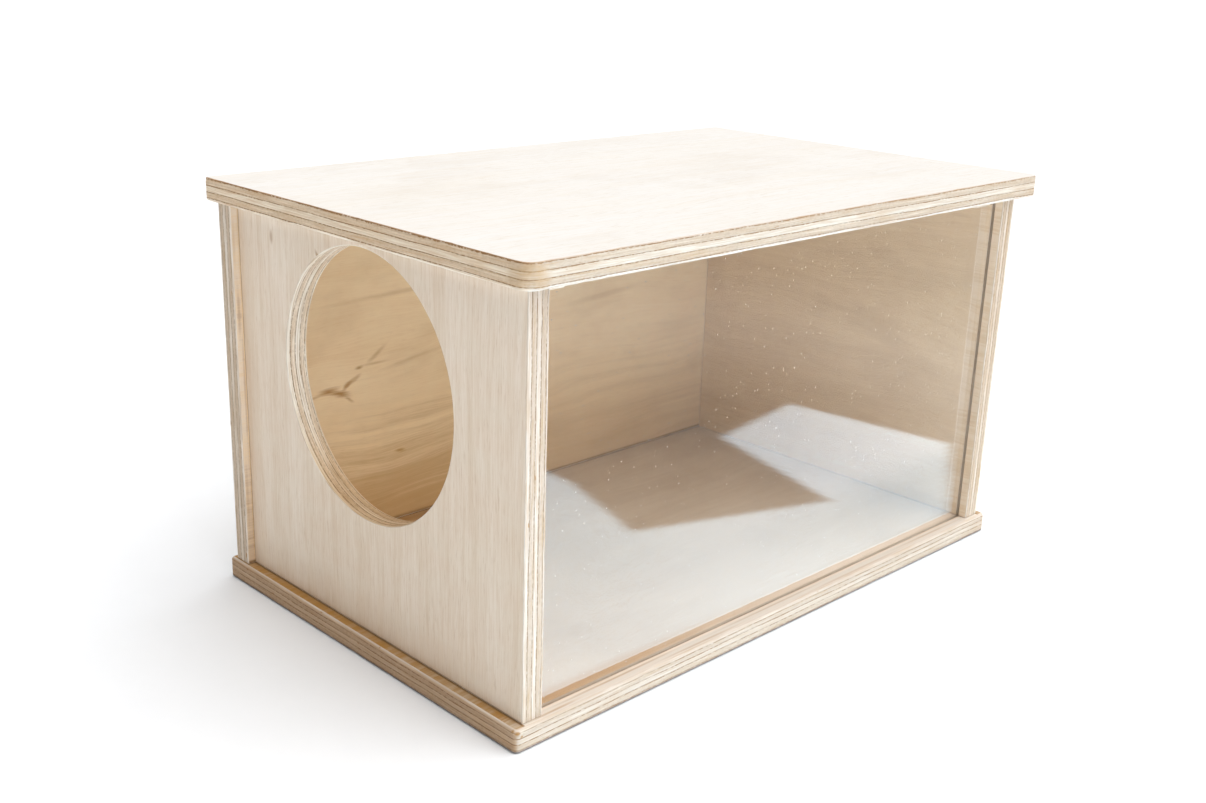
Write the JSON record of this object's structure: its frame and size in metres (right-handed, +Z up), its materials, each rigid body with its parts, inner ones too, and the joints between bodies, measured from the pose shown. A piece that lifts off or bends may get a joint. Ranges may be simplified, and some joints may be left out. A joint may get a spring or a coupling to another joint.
{
  "type": "hamster hide box",
  "caption": "Small plywood hide box for a hamster: round entrance in the left wall, clear sliding front pane in grooves and a loose lift-off lid.",
  "frame": {"origin": "on the ground, at the middle of the box's outline seen from above", "axes": "+Z up; +Y to the rear, away from the clear pane; +X to the right seen from the front, along the longest side"},
  "size_m": [0.3, 0.1914, 0.171],
  "materials": {
    "plywood": "sanded, unfinished five-ply birch, layers visible along the edges",
    "block_wood": "sanded, unfinished solid wood",
    "acrylic": "clear, polished",
    "screw_steel": "zinc plated"
  },
  "bodies": {
    "box": {"base_plate": "plywood", "left_side_panel": "plywood", "right_side_panel": "plywood", "back_panel": "plywood", "base_screws": "screw_steel", "back_screws": "screw_steel"},
    "lid": {"lid_plate": "plywood", "lid_block_front_left": "block_wood", "lid_block_front_right": "block_wood", "lid_block_rear_left": "block_wood", "lid_block_rear_right": "block_wood", "block_pins": "screw_steel"},
    "pane": {"front_pane": "acrylic"}
  },
  "joints": [
    {"name": "lid_lift", "type": "slide", "parent": "box", "child": "lid", "axis": [0, 0, 1], "range_m": [0, 0.2]},
    {"name": "pane_slide", "type": "slide", "parent": "box", "child": "pane", "axis": [0, 0, 1], "range_m": [0, 0.16]}
  ],
  "couplings": [
    {"joint": "pane_slide", "follows": "lid_lift", "ratio": 0.8}
  ]
}
